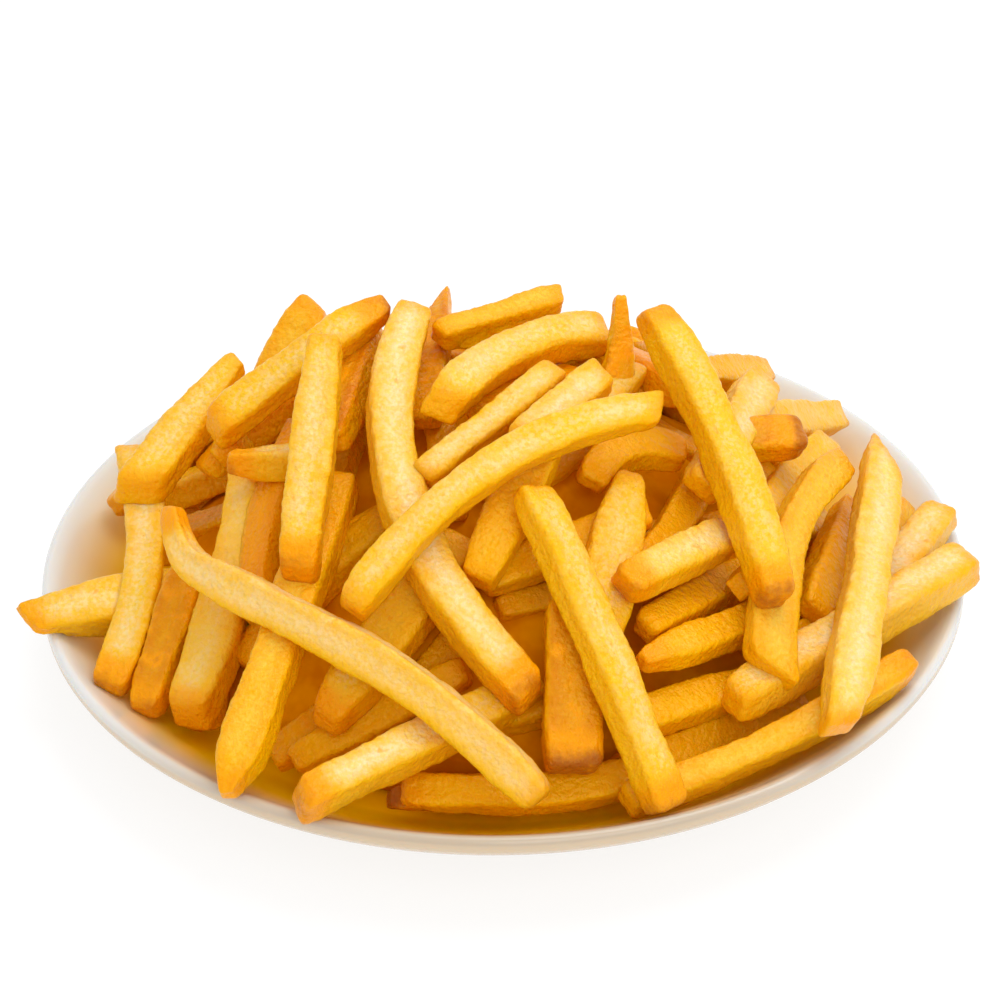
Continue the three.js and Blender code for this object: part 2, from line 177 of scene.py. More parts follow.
FRONT_FRIES = {
    "long": Fry(
        (-73, -24.5, 42.5), (6, -89.5, 24), wide=8.8, thick=7.6, bow=5.5, arch=8, sway=-1.5,
        curl=9, roll=-8, head=Cut(wide=0.5, thick=0.6, reach=26, crisp=0.7),
        tail=Cut(wide=0.7, thick=0.75, reach=10, crisp=0.3),
    ),
    "stub": Fry(
        (-36.5, -65.5, 26), (-7.5, -34, 48), wide=10.4, thick=9,
        head=Cut(wide=0.7, thick=0.6, reach=10, tilt=1.5, crisp=0.7),
    ),
    "thin": Fry((-43.5, -65, 15.5), (-7.5, -55, 30.5), wide=7, thick=6.6, tone=Tone.GOLDEN),
    "wide": Fry(
        (-40.5, -92.5, 27), (7, -59, 29.5), wide=8.4, thick=8.6, roll=14,
        head=replace(TOASTED, skew=1.5, tilt=2),
    ),
    "deep": Fry((-47.5, -61, 13.5), (-23.5, -50, 27), wide=6.6, thick=6.6, tone=Tone.BROWNED),
    "underA": Fry((-25.5, -61, 19), (-3.5, -42, 35.5), tone=Tone.GOLDEN),
    "underB": Fry((-19.5, -64, 20), (21, -60, 28.5), wide=6.8, roll=16, tone=Tone.GOLDEN),
    "tip": Fry((-24, -75, 13.5), (1, -70, 12), wide=6.6, thick=6.6, tone=Tone.BROWNED, head=BURNT),
    "low": Fry(
        (-20.5, -78, 18.5), (29, -71, 16), wide=7.4, thick=7.8, bow=-3, roll=14, tone=Tone.GOLDEN,
        head=WEDGED,
    ),
    "bent": Fry(
        (-17.5, 17.5, 74), (5, -69, 34), wide=9.6, thick=8, bow=-15.5, arch=3, roll=15,
        tail=replace(TOASTED, tilt=2.5),
    ),
    "diagonal": Fry(
        (-30.5, -56.5, 47.5), (33, -20, 70.5), wide=7.8, thick=7.8, bow=7.5, arch=5, roll=-8,
        head=Cut(skew=1.5, tilt=2), tail=Cut(wide=1, thick=0.6, reach=10, skew=-3),
    ),
    "post": Fry(
        (6, -38.5, 63.5), (31.5, -89.5, 21), wide=8.8, arch=1, roll=24, head=Cut(skew=1.5),
        tail=replace(TOASTED, skew=2),
    ),
    "browned": Fry(
        (13.5, -51, 44.5), (13, -79.5, 23), wide=11.4, thick=7.8, tone=Tone.BROWNED,
        tail=Cut(wide=0.95, crisp=1),
    ),
}

MIDDLE_FRIES = {
    "a": Fry((-4.5, -44, 44.5), (30.5, -28, 50.5), tone=Tone.GOLDEN),
    "b": Fry((-1.5, -44, 37.5), (27, -34, 37), wide=6.6, thick=6.6, tone=Tone.GOLDEN),
    "c": Fry((0.5, -44.5, 32.5), (28.5, -37.5, 29.5), wide=6.4, thick=6.4),
    "d": Fry((9.5, -21.5, 65.5), (-5.5, -48.5, 47.5), wide=9.6, thick=8, tone=Tone.GOLDEN),
    "e": Fry((28, -41, 43), (48.5, 4, 47), tone=Tone.GOLDEN),
    "arch": Fry((18.5, -25, 55.5), (38.5, -10.5, 53), bow=5.5, tone=Tone.GOLDEN),
    "blade": Fry(
        (26.5, -24, 57), (18, -58, 39.5), wide=11.4, thick=8,
        head=Cut(wide=0.5, thick=0.6, reach=12),
    ),
}

RIGHT_FRIES = {
    "tall": Fry(
        (32, 3.5, 80.5), (55, -52, 44), wide=9.2, thick=8.6, bow=3, roll=-8,
        head=replace(BURNT, thick=0.66, reach=12, crisp=0.7),
        tail=Cut(wide=0.76, thick=0.76, reach=10, crisp=0.9),
    ),
    "shelfA": Fry(
        (24, -54, 50), (46.5, -30.5, 46), wide=8.6, thick=7.6, roll=12, tone=Tone.LIGHT,
        head=TOASTED,
    ),
    "shelfB": Fry((28, -54, 39), (55, -20, 31), wide=7.4, thick=7.6, roll=18, tone=Tone.GOLDEN),
    "shelfC": Fry(
        (27, -63, 37.5), (57, -38, 31.5), thick=7.4, roll=21, tone=Tone.GOLDEN,
        head=replace(TOASTED, wide=0.45, thick=0.5, reach=15),
    ),
    "shelfD": Fry((23, -69, 26.5), (63.5, -44, 21.5), thick=8, roll=20, tone=Tone.GOLDEN),
    "deep": Fry((23, -71, 16.5), (61.5, -48, 15.5), thick=7.4, tone=Tone.GOLDEN),
    "nub": Fry((48, -42.5, 41), (59, -19, 35.5), wide=7, thick=6.4, tone=Tone.GOLDEN),
    "twist": Fry(
        (73.5, 2, 42.5), (53.5, -61.5, 33), wide=8.2, thick=6.4, bow=-7, arch=2, roll=-6, twist=20,
        tone=Tone.GOLDEN, tail=Cut(wide=1.45, thick=1.1, reach=30, skew=-5, crisp=0.3),
    ),
    "post": Fry(
        (82.5, 5, 41), (65.5, -78, 31), wide=9.4, thick=7.6, arch=2, roll=-23, tone=Tone.LIGHT,
        head=Cut(skew=13, crisp=0.5), tail=replace(ROUNDED, thick=0.84, reach=14, skew=5),
    ),
    "low": Fry(
        (83, -50, 27), (23.5, -83, 18), wide=7, thick=7.6, bow=3, roll=-26, tone=Tone.GOLDEN,
        head=replace(TOASTED, wide=0.8),
    ),
    "rimA": Fry(
        (96.5, 5.5, 27.5), (73.5, -31, 23), wide=8.6, thick=7.6, roll=-41, head=Cut(tilt=2)
    ),
    "rimB": Fry(
        (99, -16.5, 29), (45.5, -65, 28.5), wide=9.2, thick=9.4, roll=-39,
        head=Cut(skew=1.5, tilt=2),
    ),
    "innerA": Fry((71.5, 23.5, 33.5), (53.5, -17, 40.5), thick=7.2),
    "innerB": Fry((76, 4, 29.5), (64, -36, 29.5), wide=8.6, tone=Tone.GOLDEN),
    "innerC": Fry((78, -19, 22), (55.5, -43.5, 25.5), wide=6.6, thick=6.6, tone=Tone.GOLDEN),
    "sliver": Fry((89, 18.5, 20.5), (77.5, -24, 17), wide=6, thick=6, tone=Tone.GOLDEN),
    "browned": Fry(
        (64.5, 1.5, 50), (42.5, -3.5, 51.5), wide=8.8, thick=7.8, roll=14, tone=Tone.BROWNED,
        head=replace(BURNT, wide=0.84, thick=0.8, reach=5),
    ),
    "golden": Fry((77.5, 51, 24), (53.5, 9, 48.5), wide=8.2, thick=6.8, roll=31),
    "behindA": Fry(
        (38.5, 12.5, 59.5), (60.5, 49.5, 37), wide=6.8, thick=6.6, roll=-33, tone=Tone.GOLDEN
    ),
    "behindB": Fry((57, 20.5, 52.5), (41.5, -25, 54), wide=9.4, thick=7.2, roll=6),
}

CROWN_FRIES = {
    "bar": Fry(
        (-13, 12, 70), (14, 30, 68.5), wide=6.2, thick=6.6, roll=-31, tone=Tone.GOLDEN,
        tail=Cut(skew=-2.5),
    ),
    "thick": Fry(
        (-12, -16, 69.5), (23, 20.5, 65), wide=9.2, thick=8, bow=5, roll=-20,
        head=Cut(skew=-1, tilt=3),
    ),
    "nub": Fry((-9, 15, 68), (10.5, 26.5, 64), wide=6.4, thick=6.4, tone=Tone.BROWNED),
    "slimA": Fry((12, -1.5, 69), (-16, -29.5, 61), wide=6.6, thick=5.8, roll=9),
    "slimB": Fry((22, -7.5, 72), (3.5, -25.5, 65.5), wide=8.4, thick=6.8, roll=3, head=Cut(skew=2)),
    "small": Fry((29, 8.5, 63), (14.5, -17.5, 62), wide=6, thick=5.8),
    "tipA": Fry(
        (-12, 34.5, 67.5), (-16, -4, 58), wide=7, thick=6.4, tone=Tone.BROWNED,
        head=replace(POINTED, skew=-4),
    ),
    "tipB": Fry(
        (26, 15, 77.5), (21.5, -5.5, 55), thick=6.6, bow=1.5, tone=Tone.BROWNED,
        head=Cut(wide=0.32, thick=0.45, reach=26, crisp=0.6),
    ),
}

SHOWN_FRIES = (LEFT_FRIES, FRONT_FRIES, MIDDLE_FRIES, RIGHT_FRIES, CROWN_FRIES)


@dataclass(frozen=True)
class Row:
    """A row of fries laid by rule round the heap, at radius mm from the plate's middle.

    heading is the way they point, in degrees from straight outwards, and turn is how far
    they swing to either side of it. They lie sink mm under the heap's outer surface.
    """

    count: int
    radius: float
    heading: float
    turn: float
    length: float
    sink: float


BACK_ARC = (50.0, 158.0)
BACK_ROWS = (
    Row(count=7, radius=80, heading=90, turn=14, length=54, sink=6),
    Row(count=8, radius=69, heading=12, turn=18, length=46, sink=5),
    Row(count=6, radius=58, heading=80, turn=22, length=54, sink=11),
    Row(count=6, radius=51, heading=4, turn=20, length=44, sink=9),
    Row(count=4, radius=34, heading=84, turn=26, length=46, sink=15),
)

UNDER_ARC = (0.0, 360.0)
UNDER_ROWS = (
    Row(count=6, radius=14, heading=40, turn=30, length=46, sink=11),
    Row(count=10, radius=32, heading=60, turn=35, length=46, sink=10),
    Row(count=14, radius=50, heading=20, turn=35, length=44, sink=10),
    Row(count=17, radius=66, heading=75, turn=25, length=42, sink=10),
    Row(count=10, radius=40, heading=10, turn=40, length=46, sink=16),
    Row(count=13, radius=58, heading=80, turn=30, length=44, sink=16),
)

UNDER_BACK_ARC = (-5.0, 185.0)
UNDER_BACK_ROWS = (
    Row(count=10, radius=68, heading=35, turn=30, length=36, sink=17),
    Row(count=9, radius=62, heading=85, turn=20, length=36, sink=22),
)


def scatter(index: float, channel: float) -> float:
    """A repeatable draw between -1 and 1.

    Args:
        index: Which thing the draw is for.
        channel: Which of its traits.

    Returns:
        The same value for the same pair, with no pattern that shows.
    """
    value = math.sin(index * 12.9898 + channel * 78.233) * 43758.5453
    return 2 * (value - math.floor(value)) - 1


def smooth_step(share: np.ndarray) -> np.ndarray:
    """An even rise from 0 to 1 over shares from 0 to 1, level at both ends."""
    held = np.clip(share, 0, 1)
    return held * held * (3 - 2 * held)


@dataclass(frozen=True)
class HeapShape:
    """The heap's outer surface, in mm: a mound, gentle to the front and steeper behind."""

    foot: float = 12
    top: float = 75
    side: float = 98
    front: float = 95
    back: float = 78
    middle_y: float = 5

    def height(self, x: float, y: float) -> float:
        """Height of the surface over a place on the plate.

        Args:
            x: Place across the plate.
            y: Place from the diner's side to the far side.

        Returns:
            Height above the table.
        """
        reach = self.front if y < self.middle_y else self.back
        fall = (x / self.side) ** 2 + ((y - self.middle_y) / reach) ** 2
        return self.foot + (self.top - self.foot) * (1 - fall)

    def normal(self, x: float, y: float) -> Vector:
        """The way the surface faces over a place on the plate.

        Args:
            x: Place across the plate.
            y: Place from the diner's side to the far side.

        Returns:
            A unit vector out of the heap.
        """
        step = 0.5
        slope_x = (self.height(x + step, y) - self.height(x - step, y)) / (2 * step)
        slope_y = (self.height(x, y + step) - self.height(x, y - step)) / (2 * step)
        return Vector((-slope_x, -slope_y, 1)).normalized()


@dataclass(frozen=True)
class PlateShape:
    """Sizes of the plate, in mm."""

    radius: float = 100
    lip_top: float = 22
    lip_width: float = 3
    lip_depth: float = 3.5
    well_radius: float = 74
    well_top: float = 6.5
    wall_curve: float = 1.3
    porcelain: float = 4.2
    foot_radius: float = 57
    foot_width: float = 6
    foot_recess: float = 1.6
    lip_drop: float = 0.8
    lip_round: float = 1.3
    lip_turn: float = 120
    foot_rise: float = 0.9
    foot_flare: float = 0.6

    def surface(self, radius: float) -> float:
        """Height of the plate's upper surface.

        Args:
            radius: Distance from the plate's middle.

        Returns:
            Height above the table.
        """
        wall_end = self.radius - self.lip_width
        share = (radius - self.well_radius) / (wall_end - self.well_radius)
        rise = min(max(share, 0.0), 1.0) ** self.wall_curve
        return self.well_top + (self.lip_top - self.lip_drop - self.well_top) * rise


class FryLine:
    """The middle line of one fry and the way its section is turned along it, in mm."""

    curl_reach: float = 16.0

    def __init__(self, fry: Fry, heap: HeapShape) -> None:
        """Works out the fry's own directions.

        Args:
            fry: The fry.
            heap: The surface it lies on.
        """
        self.fry = fry
        self.start = np.array(fry.start, float)
        self.end = np.array(fry.end, float)
        self.length = float(np.linalg.norm(self.end - self.start))
        along = Vector(self.end - self.start).normalized()
        middle = (self.start + self.end) / 2
        out = heap.normal(middle[0], middle[1])
        out = (out - along * out.dot(along)).normalized()
        out = Matrix.Rotation(math.radians(-fry.roll), 3, along) @ out
        self.out = np.array(out)
        self.across = np.array(out.cross(along))

    def place(self, share: np.ndarray) -> np.ndarray:
        """Points of the middle line.

        Args:
            share: Places along it, from 0 at the start to 1 at the end.

        Returns:
            One point to a row.
        """
        bulge = 4 * share * (1 - share)
        swing = np.sin(2 * np.pi * share)
        hooked = np.clip(1 - share * self.length / self.curl_reach, 0, None) ** 2
        straight = self.start + np.outer(share, self.end - self.start)
        aside = self.fry.bow * bulge + self.fry.sway * swing + self.fry.curl * hooked
        return straight + np.outer(aside, self.across) + np.outer(self.fry.arch * bulge, self.out)

    def section(self, share: np.ndarray) -> tuple[np.ndarray, np.ndarray]:
        """Which way the fry's width and thickness point along the middle line.

        Args:
            share: Places along it.

        Returns:
            The sideways and the outward unit vectors, one to a row.
        """
        step = 0.002
        tangent = self.place(share + step) - self.place(share - step)
        tangent /= np.linalg.norm(tangent, axis=1)[:, None]
        across = self.across - tangent * (tangent @ self.across)[:, None]
        across /= np.linalg.norm(across, axis=1)[:, None]
        out = np.cross(tangent, across)
        wind = np.radians(self.fry.twist) * (share - 0.5)
        turned = across * np.cos(wind)[:, None] + out * np.sin(wind)[:, None]
        return turned, np.cross(tangent, turned)


@dataclass
class FryBlank:
    """A plain straight fry that every fry is cut from, modelled once, in mm along X."""

    length: float = 100
    wide: float = 10
    thick: float = 9
    corner: float = 1.9
    corner_steps: int = 3
    rings: int = 90
    face_cuts: int = 4

    def model(self, name: str) -> bpy.types.Object:
        """Models the blank.

        Args:
            name: Name of the new object.

        Returns:
            A bar with rounded edges, closed and evenly divided.
        """
        bpy.ops.object.select_all(action="DESELECT")
        bpy.ops.mesh.primitive_cube_add(size=1)
        blank = bpy.context.active_object
        blank.name = name
        blank.scale = (self.length, self.wide, self.thick)
        bpy.ops.object.transform_apply(location=True, rotation=True, scale=True)
        bpy.ops.object.mode_set(mode="EDIT")
        bpy.ops.mesh.select_all(action="SELECT")
        bpy.ops.mesh.bevel(offset=self.corner, segments=self.corner_steps, affect="EDGES")
        bpy.ops.object.mode_set(mode="OBJECT")
        self._divide(blank, axis=0, longest=2 * self.corner, cuts=self.rings)
        for axis in (1, 2):
            self._divide(blank, axis=axis, longest=self.corner, cuts=self.face_cuts)
        return blank

    @staticmethod
    def _divide(blank: bpy.types.Object, axis: int, longest: float, cuts: int) -> None:
        """Divides the edges that run straight along one axis.

        Args:
            blank: The bar.
            axis: 0, 1 or 2 for X, Y or Z.
            longest: Only edges longer than this are divided.
            cuts: How often each is divided.
        """
        mesh = blank.data
        bpy.ops.object.mode_set(mode="EDIT")
        bpy.ops.mesh.select_mode(type="EDGE")
        bpy.ops.mesh.select_all(action="DESELECT")
        bpy.ops.object.mode_set(mode="OBJECT")
        for edge in mesh.edges:
            run = mesh.vertices[edge.vertices[0]].co - mesh.vertices[edge.vertices[1]].co
            edge.select = abs(run[axis]) > longest and abs(run[axis]) > 0.999 * run.length
        bpy.ops.object.mode_set(mode="EDIT")
        bpy.ops.mesh.subdivide(number_cuts=cuts)
        bpy.ops.object.mode_set(mode="OBJECT")


class FryCutter:
    """Cuts fries from a blank: each is a copy, shaped at its ends and laid on its line.

    Lengths are in mm. sink hollows the faces by a share of the section. swell lets it grow
    and shrink along the fry, one radian of the wave to a swell_length, with a phase drawn
    within swell_phase; the thickness swells thick_pace times as often. rough_cut slants the
    ends, the last end_zone of each isn't stretched, and gap is kept over the plate. Browning
    runs crisp_reach from an end, and crisp_spread more where it is crispest. Skin that faces
    up, from level on, keeps its face's colour; skin turned further from above is marked for
    painted shade, golden. Painted shade also turns it more golden from depth_start under the
    heap's surface to shown_depth further in, and by low_share below pale_height. Edges
    are golden from edge_start on.
    """

    sink: float = 0.07
    swell: float = 0.06
    swell_length: float = 6.5
    swell_phase: float = 3.0
    thick_pace: float = 1.3
    rough_cut: float = 1.2
    end_zone: float = 8.0
    gap: float = 0.35
    crisp_reach: float = 4.0
    crisp_spread: float = 8.0
    level: float = 0.96
    level_spread: float = 0.8
    depth_start: float = 1.0
    shown_depth: float = 15.0
    pale_height: float = 52.0
    low_share: float = 0.3
    edge_start: float = 0.1
    edge_spread: float = 0.62
    narrowing: float = 1.2

    def __init__(
        self, blank: bpy.types.Object, size: FryBlank, heap: HeapShape, plate: PlateShape
    ) -> None:
        """Reads the blank once.

        Args:
            blank: The blank's object.
            size: Its sizes.
            heap: The surface that the fries lie on.
            plate: The plate under them.
        """
        self.blank = blank
        self.size = size
        self.heap = heap
        self.plate = plate
        self.points = np.zeros(len(blank.data.vertices) * 3)
        blank.data.vertices.foreach_get("co", self.points)
        self.points = self.points.reshape(-1, 3)
        self.outward = np.zeros(len(blank.data.vertices) * 3)
        blank.data.vertices.foreach_get("normal", self.outward)
        self.outward = self.outward.reshape(-1, 3)

    def cut(self, name: str, fry: Fry, seed: int) -> bpy.types.Object:
        """Cuts one fry and lays it in its place.

        Args:
            name: Name of the new object.
            fry: What to cut.
            seed: A number of its own, for its grain.

        Returns:
            The fry, in metres.
        """
        line = FryLine(fry, self.heap)
        x, side, lift, crisp = self._shaped(fry, line.length, seed)
        share = x / line.length + 0.5
        across, out = line.section(share)
        laid = line.place(share) + across * side[:, None] + out * lift[:, None]
        laid[:, 2] = np.maximum(laid[:, 2], self._plate_under(laid))
        copy = self.blank.copy()
        copy.data = self.blank.data.copy()
        copy.name = name
        bpy.context.scene.collection.objects.link(copy)
        copy.data.vertices.foreach_set("co", (laid * MM).ravel())
        grain = np.stack([x, side, lift], axis=1) * MM
        grain += np.array([scatter(seed, 11), scatter(seed, 12), scatter(seed, 13)])
        self._mark(copy.data, "grain", "FLOAT_VECTOR", "vector", grain)
        self._mark(copy.data, "edge", "FLOAT", "value", self._edge())
        self._mark(copy.data, "crisp", "FLOAT", "value", crisp)
        toast = np.full(len(x), 0.5 + 0.5 * scatter(seed, 14))
        self._mark(copy.data, "toast", "FLOAT", "value", toast)
        # painted shade: how far the skin turns from above, which the finish turns golden
        self._mark(copy.data, "under", "FLOAT", "value", self._turned_down(across, out))
        # painted shade: depth under the heap's surface and lowness, which the finish darkens
        self._mark(copy.data, "deep", "FLOAT", "value", self._depth_shade(laid))
        return copy

    def _turned_down(self, across: np.ndarray, out: np.ndarray) -> np.ndarray:
        """How far the skin at each point turns away from above: 0 faces up, 1 aside or down."""
        upright = (self.outward[:, 1:2] * across + self.outward[:, 2:] * out)[:, 2]
        return smooth_step((self.level - upright) / self.level_spread)

    def _depth_shade(self, laid: np.ndarray) -> np.ndarray:
        """How much painted shade, golden, each point gets for lying under the heap's surface or low
        in the heap.

        Args:
            laid: The points where they lie.

        Returns:
            0 for the face's own colour to 1 for the most golden painted shade.
        """
        depth = np.array([self.heap.height(px, py) - pz for px, py, pz in laid])
        low = np.clip(1 - laid[:, 2] / self.pale_height, 0, 1)
        shown = (depth - self.depth_start) / self.shown_depth
        return np.clip(shown + self.low_share * low, 0, 1)

    def _plate_under(self, laid: np.ndarray) -> np.ndarray:
        """The lowest that each point can lie without sinking into the plate.

        Args:
            laid: The points where they lie.

        Returns:
            Heights above the table, without a limit beyond the rim.
        """
        out = np.hypot(laid[:, 0], laid[:, 1])
        lowest = np.array([self.plate.surface(radius) for radius in out]) + self.gap
        on_lip = out > self.plate.radius - self.plate.lip_width
        lowest[on_lip] = self.plate.lip_top + self.gap
        return np.where(out > self.plate.radius + 1, -np.inf, lowest)

    def _edge(self) -> np.ndarray:
        """How near each point is to a long edge.

        Returns:
            0 in the middle of a face to 1 on the edge.
        """
        side = np.abs(self.points[:, 1]) / (self.size.wide / 2)
        lift = np.abs(self.points[:, 2]) / (self.size.thick / 2)
        return smooth_step((side * lift - self.edge_start) / self.edge_spread)

    def _shaped(self, fry: Fry, length: float, seed: int) -> tuple[np.ndarray, ...]:
        """The blank at a fry's size, with its faces sunk and its ends cut.

        Args:
            fry: What to cut.
            length: Its length.
            seed: A number of its own, for its uneven width and cuts.

        Returns:
            Places along, across and out, and how crisp each is.
        """
        x = self._stretched(length)
        side, lift = self._sunk()
        swell = x / self.swell_length
        wide = 1 + self.swell * np.sin(swell + self.swell_phase * scatter(seed, 15))
        swell *= self.thick_pace
        thick = 1 + self.swell * np.sin(swell + self.swell_phase * scatter(seed, 16))
        crisp = np.zeros(len(x))
        moved = np.zeros(len(x))
        for cut, sign in ((fry.head, -1), (fry.tail, 1)):
            gap = length / 2 - sign * x
            narrow = np.clip(1 - gap / cut.reach, 0, 1) ** self.narrowing
            wide *= 1 + (cut.wide - 1) * narrow
            thick *= 1 + (cut.thick - 1) * narrow
            slant = 1 - smooth_step(gap / (self.end_zone + abs(cut.skew) + abs(cut.tilt)))
            skew = cut.skew + self.rough_cut * scatter(seed, 17 + sign)
            tilt = cut.tilt + self.rough_cut * scatter(seed, 20 + sign)
            moved -= sign * slant * (skew * side + tilt * lift) / 2
            browning = gap / (self.crisp_reach + self.crisp_spread * cut.crisp)
            crisp = np.maximum(crisp, cut.crisp * (1 - smooth_step(browning)))
        side = side * wide * fry.wide / 2
        lift = lift * thick * fry.thick / 2
        return x + moved, side, lift, crisp

    def _stretched(self, length: float) -> np.ndarray:
        """Stretches the blank to a length, all but its ends.

        Args:
            length: Length of the fry.

        Returns:
            Places along the fry, from its middle.
        """
        x = self.points[:, 0]
        from_end = self.size.length / 2 - np.abs(x)
        zone = min(self.end_zone, length / 3)
        stretch = (length / 2 - zone) / (self.size.length / 2 - zone)
        return np.where(from_end < zone, np.sign(x) * (length / 2 - from_end), x * stretch)

    def _sunk(self) -> tuple[np.ndarray, np.ndarray]:
        """Sinks the middle of each long face a little.

        Returns:
            Places across and out, from -1 to 1.
        """
        side = self.points[:, 1] / (self.size.wide / 2)
        lift = self.points[:, 2] / (self.size.thick / 2)
        sunk_side = self.sink * np.clip(1 - lift**2, 0, 1) * smooth_step(np.abs(side) * 4 - 3)
        sunk_lift = self.sink * np.clip(1 - side**2, 0, 1) * smooth_step(np.abs(lift) * 4 - 3)
        return side * (1 - sunk_side), lift * (1 - sunk_lift)

    @staticmethod
    def _mark(mesh: bpy.types.Mesh, name: str, kind: str, key: str, values: np.ndarray) -> None:
        """Writes one value to each point of a mesh.

        Args:
            mesh: The mesh.
            name: Name of the attribute.
            kind: Its data type.
            key: The field that holds it.
            values: One value or one row to a point.
        """
        attribute = mesh.attributes.new(name, kind, "POINT")
        attribute.data.foreach_set(key, np.asarray(values, np.float32).ravel())


class NodeTree:
    """A material's nodes, with short ways to add and join them."""

    def __init__(self, name: str) -> None:
        """Starts a material.

        Args:
            name: Name of the material.
        """
        self.material = bpy.data.materials.new(name)
        self.material.use_nodes = True
        self.nodes = self.material.node_tree.nodes
        self.shader = self.nodes["Principled BSDF"]

    def add(self, kind: str, **settings: object) -> bpy.types.Node:
        """Adds a node.

        Args:
            kind: Its type, without the leading ShaderNode.
            settings: Properties to set on it.

        Returns:
            The node.
        """
        node = self.nodes.new("ShaderNode" + kind)
        for key, value in settings.items():
            setattr(node, key, value)
        return node

    def set_shader(self, values: dict[str, float | tuple[float, ...]]) -> None:
        """Sets plain values on the shader's own sockets."""
        for name, value in values.items():
            self.shader.inputs[name].default_value = value

    def join(self, source: bpy.types.NodeSocket, target: bpy.types.NodeSocket) -> None:
        """Joins an output to an input."""
        self.material.node_tree.links.new(source, target)

    def attribute(self, name: str) -> bpy.types.Node:
        """A node that reads a mesh attribute."""
        return self.add("Attribute", attribute_name=name, attribute_type="GEOMETRY")

    def noise(
        self, place: bpy.types.NodeSocket, scale: float, detail: float = 3, stretch: Point = (1, 1, 1)
    ) -> bpy.types.NodeSocket:
        """A noise pattern.

        Args:
            place: Where it is read.
            scale: Size of its lumps in metres.
            detail: How many finer layers it has.
            stretch: How much it is squeezed along each axis.

        Returns:
            The noise, about 0.5.
        """
        mapping = self.add("Mapping")
        mapping.inputs["Scale"].default_value = stretch
        self.join(place, mapping.inputs["Vector"])
        noise = self.add("TexNoise")
        noise.inputs["Scale"].default_value = 1 / scale
        noise.inputs["Detail"].default_value = detail
        self.join(mapping.outputs["Vector"], noise.inputs["Vector"])
        return noise.outputs["Fac"]

    def ramp(self, source: bpy.types.NodeSocket, low: float, high: float) -> bpy.types.NodeSocket:
        """Spreads the values between low and high over 0 to 1.

        Args:
            source: The values.
            low: What becomes 0.
            high: What becomes 1.

        Returns:
            The spread values, held between 0 and 1.
        """
        spread = self.add("MapRange", interpolation_type="SMOOTHSTEP")
        spread.inputs["From Min"].default_value = low
        spread.inputs["From Max"].default_value = high
        self.join(source, spread.inputs["Value"])
        return spread.outputs["Result"]

    def math(
        self, operation: str, first: bpy.types.NodeSocket, second: bpy.types.NodeSocket | float
    ) -> bpy.types.NodeSocket:
        """One step of arithmetic.

        Args:
            operation: Blender's name of it.
            first: The first value.
            second: The second value, a socket or a number.

        Returns:
            The result.
        """
        node = self.add("Math", operation=operation)
        self.join(first, node.inputs[0])
        if isinstance(second, (int, float)):
            node.inputs[1].default_value = second
        else:
            self.join(second, node.inputs[1])
        return node.outputs[0]

    def blend(
        self,
        share: bpy.types.NodeSocket,
        first: bpy.types.NodeSocket | tuple[float, float, float],
        second: bpy.types.NodeSocket | tuple[float, float, float],
    ) -> bpy.types.NodeSocket:
        """Mixes two colours.

        Args:
            share: How much of the second.
            first: A colour or a socket.
            second: A colour or a socket.

        Returns:
            The mixed colour.
        """
        node = self.add("Mix", data_type="RGBA")
        self.join(share, node.inputs[0])
        for colour, socket in ((first, node.inputs[6]), (second, node.inputs[7])):
            if isinstance(colour, tuple):
                socket.default_value = (*colour, 1)
            else:
                self.join(colour, socket)
        return node.outputs[2]


